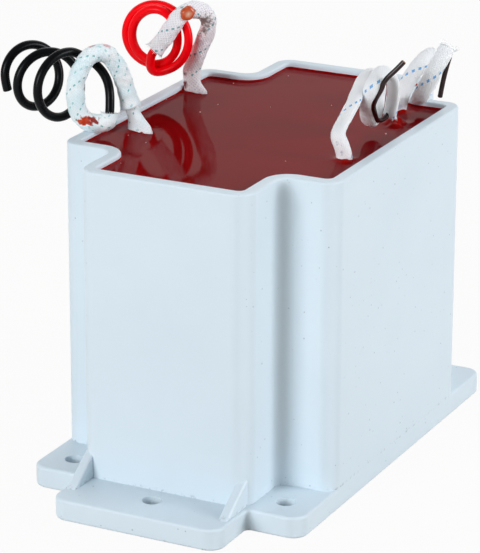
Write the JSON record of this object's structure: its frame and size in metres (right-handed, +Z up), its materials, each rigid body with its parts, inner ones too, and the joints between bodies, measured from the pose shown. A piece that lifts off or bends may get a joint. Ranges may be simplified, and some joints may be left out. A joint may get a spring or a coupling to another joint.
{
  "type": "potted transformer",
  "caption": "Small potted transformer: moulded case with bolt-down tabs, filled with red-brown resin, with looped and sleeved flying leads standing out of the top.",
  "frame": {"origin": "on the underside, at the middle of the case's plan", "axes": "+X along the front, across the narrow side; +Y towards the rear, along the long side; +Z up, out of the open top"},
  "size_m": [0.1008, 0.1436, 0.1088],
  "materials": {
    "case_plastic": "moulded satin",
    "potting_resin": "cast gloss",
    "glass_braid": "varnished braid",
    "black_insulation": "satin",
    "red_insulation": "satin",
    "white_tubing": "smooth satin",
    "enamelled_copper": "gloss enamel"
  },
  "bodies": {
    "root": {"case": "case_plastic", "resin_fill": "potting_resin", "black_lead_root_sleeve": "glass_braid", "black_lead_sleeve": "glass_braid", "black_lead": "black_insulation", "black_lead_coil": "black_insulation", "red_lead_sleeve": "glass_braid", "red_lead": "red_insulation", "red_lead_coil": "red_insulation", "front_secondary_sleeve": "white_tubing", "front_secondary_wire": "enamelled_copper", "rear_secondary_sleeve": "white_tubing", "rear_secondary_wire": "enamelled_copper"}
  },
  "joints": []
}
